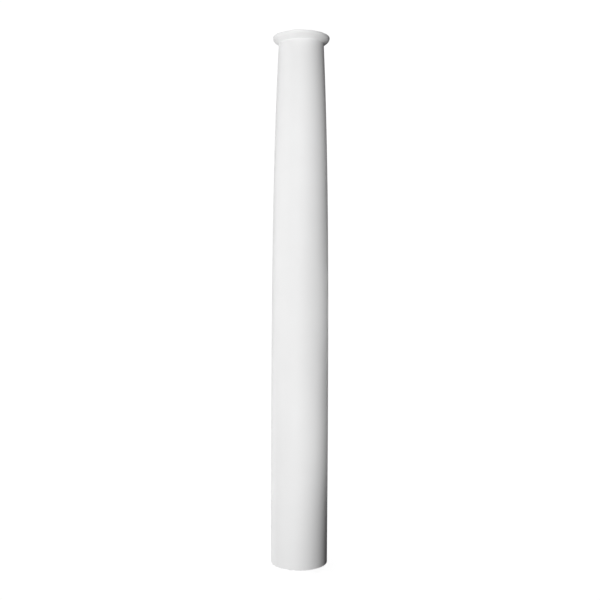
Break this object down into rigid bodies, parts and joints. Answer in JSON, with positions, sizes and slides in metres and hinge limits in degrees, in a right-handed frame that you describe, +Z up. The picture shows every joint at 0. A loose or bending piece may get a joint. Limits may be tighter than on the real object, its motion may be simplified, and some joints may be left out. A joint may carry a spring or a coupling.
{
  "type": "tapered column shaft",
  "caption": "Plain round hollow column shaft with a gentle swell, tapering to a neck under a flared collar on its flat top.",
  "frame": {"origin": "centre of the shaft's foot, on the plane that it stands on", "axes": "+Z up the shaft's axis, from the foot to the collar; +X and +Y are any two square directions across it"},
  "size_m": [0.248, 0.248, 2.286],
  "materials": {
    "white_moulding": "matt to low-sheen white, ready-primed moulded glass-fibre polyester, smooth outside"
  },
  "bodies": {
    "root": {"column_shaft": "white_moulding"}
  },
  "joints": []
}
